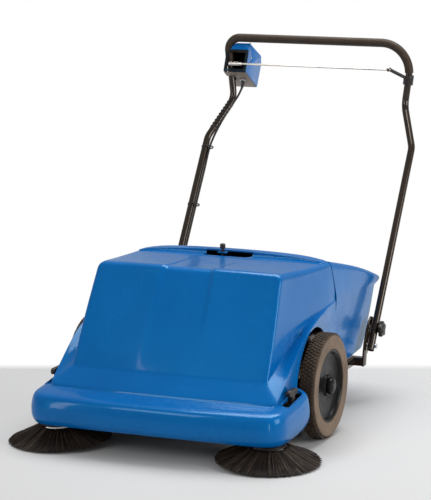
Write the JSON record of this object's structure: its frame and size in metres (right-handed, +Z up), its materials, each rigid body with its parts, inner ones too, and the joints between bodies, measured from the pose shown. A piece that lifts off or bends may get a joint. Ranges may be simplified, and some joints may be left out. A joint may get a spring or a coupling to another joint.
{
  "type": "walk-behind sweeper",
  "caption": "Battery walk-behind floor sweeper with a tilting hood, roller brush, side brushes with lift levers, sliding hopper and a push handle with a switch bar.",
  "frame": {"origin": "bottom centre of the whole machine's box, on the floor", "axes": "+Z up, +Y rearwards towards the operator, +X to the right as seen from the front"},
  "size_m": [0.9246, 1.4983, 1.0458],
  "materials": {
    "blue_cover": "gloss",
    "black_plastic": "satin",
    "black_paint": "gloss",
    "zinc_steel": "satin",
    "chrome_bar": "polished",
    "tyre_rubber": "matte",
    "rubber_black": "matte",
    "bristle": "matte",
    "grip": "matte",
    "taupe_plastic": "satin",
    "grey_sheet": "satin",
    "motor_alloy": "satin",
    "core_grey": "satin",
    "battery_case": "satin"
  },
  "bodies": {
    "chassis": {"chassis_frame": "black_paint", "rear_cross_tube": "black_paint", "handle_bracket_right": "black_paint", "handle_bracket_left": "black_paint", "handle_pivot_bolt_right": "zinc_steel", "handle_pivot_bolt_left": "zinc_steel", "wheel_axle_right": "zinc_steel", "wheel_axle_left": "zinc_steel", "hood_hinge_bolt_right": "zinc_steel", "hood_hinge_bolt_left": "zinc_steel", "main_brush_bearing_right": "zinc_steel", "main_brush_bearing_left": "zinc_steel", "brush_housing": "grey_sheet", "dirt_ramp": "grey_sheet", "front_dirt_flap": "rubber_black", "battery_tray": "black_paint", "battery": "battery_case", "drive_motor": "motor_alloy", "drive_belt": "rubber_black", "hood_latch_bracket": "black_paint", "caster_plate": "zinc_steel"},
    "hood": {"hood_shell": "blue_cover"},
    "latch": {"hood_latch_knob": "black_plastic"},
    "hopper": {"hopper_tub": "blue_cover", "hopper_grip": "black_plastic"},
    "handle": {"handle_tube": "black_paint", "grip_sleeve": "grip", "control_box_cover": "blue_cover", "control_box_base": "taupe_plastic", "control_panel": "black_plastic", "handle_cable": "black_plastic", "post_spiral_sleeve": "black_plastic", "bail_pivot_arm": "black_plastic"},
    "key": {"key_switch": "zinc_steel"},
    "bail": {"bail_rod": "chrome_bar"},
    "caster": {"caster_fork": "zinc_steel", "caster_axle": "zinc_steel"},
    "caster_roller": {"caster_wheel": "tyre_rubber"},
    "main_brush": {"main_brush_core": "core_grey", "main_brush_bristles": "bristle", "main_brush_pulley": "motor_alloy"},
    "motor_rotor": {"motor_pulley": "motor_alloy"},
    "wheel_right": {"tyre_right": "tyre_rubber", "wheel_disc_right": "black_plastic", "hub_cap_right": "black_plastic"},
    "side_arm_right": {"side_brush_arm_right": "black_paint", "side_brush_motor_right": "motor_alloy"},
    "side_brush_right": {"side_brush_plate_right": "black_plastic", "side_brush_bristles_right": "bristle"},
    "lever_right": {"side_brush_lever_right": "black_plastic"},
    "star_right": {"star_knob_right": "black_plastic"},
    "wheel_left": {"tyre_left": "tyre_rubber", "wheel_disc_left": "black_plastic", "hub_cap_left": "black_plastic"},
    "side_arm_left": {"side_brush_arm_left": "black_paint", "side_brush_motor_left": "motor_alloy"},
    "side_brush_left": {"side_brush_plate_left": "black_plastic", "side_brush_bristles_left": "bristle"},
    "lever_left": {"side_brush_lever_left": "black_plastic"},
    "star_left": {"star_knob_left": "black_plastic"}
  },
  "joints": [
    {"name": "hood_tilt", "type": "hinge", "parent": "chassis", "child": "hood", "pos_m": [0, -0.69485, 0.086], "axis": [1, 0, 0], "range_deg": [0, 55]},
    {"name": "latch_turn", "type": "hinge", "parent": "hood", "child": "latch", "pos_m": [-0.022, -0.10385, 0.487], "axis": [0, 0, 1], "range_deg": [0, 90]},
    {"name": "hopper_slide", "type": "slide", "parent": "chassis", "child": "hopper", "axis": [0, 1, 0], "range_m": [0, 0.45]},
    {"name": "handle_tilt", "type": "hinge", "parent": "chassis", "child": "handle", "pos_m": [0, 0.18415, 0.168], "axis": [1, 0, 0], "range_deg": [-12, 12]},
    {"name": "key_turn", "type": "hinge", "parent": "handle", "child": "key", "pos_m": [-0.258, 0.70475, 0.9885], "axis": [0, 0.4431, 0.8965], "range_deg": [0, 90]},
    {"name": "bail_lift", "type": "hinge", "parent": "handle", "child": "bail", "pos_m": [0.249, 0.60415, 0.954], "axis": [0, 1, 0], "range_deg": [0, 3.5], "stiffness_Nm_per_rad": 4, "springref_deg": -5.73},
    {"name": "main_brush_spin", "type": "hinge", "parent": "chassis", "child": "main_brush", "pos_m": [0, -0.21385, 0.1265], "axis": [1, 0, 0], "continuous": true},
    {"name": "motor_spin", "type": "hinge", "parent": "chassis", "child": "motor_rotor", "pos_m": [0, -0.40585, 0.205], "axis": [1, 0, 0], "continuous": true},
    {"name": "caster_swivel", "type": "hinge", "parent": "chassis", "child": "caster", "pos_m": [0, 0.10215, 0.1], "axis": [0, 0, 1], "continuous": true},
    {"name": "caster_roll", "type": "hinge", "parent": "caster", "child": "caster_roller", "pos_m": [0, 0.12915, 0.04], "axis": [1, 0, 0], "continuous": true},
    {"name": "wheel_spin_right", "type": "hinge", "parent": "chassis", "child": "wheel_right", "pos_m": [0.356, -0.27585, 0.15], "axis": [1, 0, 0], "continuous": true},
    {"name": "side_arm_lift_right", "type": "hinge", "parent": "chassis", "child": "side_arm_right", "pos_m": [0.288, -0.46585, 0.112], "axis": [-1, 0, 0], "range_deg": [0, 4]},
    {"name": "side_brush_spin_right", "type": "hinge", "parent": "side_arm_right", "child": "side_brush_right", "pos_m": [0.313, -0.59985, 0.0094], "axis": [0.0419, -0.0419, 0.9982], "continuous": true},
    {"name": "lever_swing_right", "type": "hinge", "parent": "chassis", "child": "lever_right", "pos_m": [0.355, -0.52985, 0.116], "axis": [-1, 0, 0], "range_deg": [0, 12]},
    {"name": "star_turn_right", "type": "hinge", "parent": "handle", "child": "star_right", "pos_m": [0.365, 0.21515, 0.214], "axis": [1, 0, 0], "range_deg": [0, 120]},
    {"name": "wheel_spin_left", "type": "hinge", "parent": "chassis", "child": "wheel_left", "pos_m": [-0.356, -0.27585, 0.15], "axis": [1, 0, 0], "continuous": true},
    {"name": "side_arm_lift_left", "type": "hinge", "parent": "chassis", "child": "side_arm_left", "pos_m": [-0.288, -0.46585, 0.112], "axis": [-1, 0, 0], "range_deg": [0, 4]},
    {"name": "side_brush_spin_left", "type": "hinge", "parent": "side_arm_left", "child": "side_brush_left", "pos_m": [-0.313, -0.59985, 0.0094], "axis": [-0.0419, -0.0419, 0.9982], "continuous": true},
    {"name": "lever_swing_left", "type": "hinge", "parent": "chassis", "child": "lever_left", "pos_m": [-0.355, -0.52985, 0.116], "axis": [-1, 0, 0], "range_deg": [0, 12]},
    {"name": "star_turn_left", "type": "hinge", "parent": "handle", "child": "star_left", "pos_m": [-0.365, 0.21515, 0.214], "axis": [1, 0, 0], "range_deg": [0, 120]}
  ],
  "couplings": [
    {"joint": "motor_spin", "follows": "main_brush_spin", "ratio": 2},
    {"joint": "lever_swing_right", "follows": "side_arm_lift_right", "ratio": 3},
    {"joint": "lever_swing_left", "follows": "side_arm_lift_left", "ratio": 3}
  ]
}
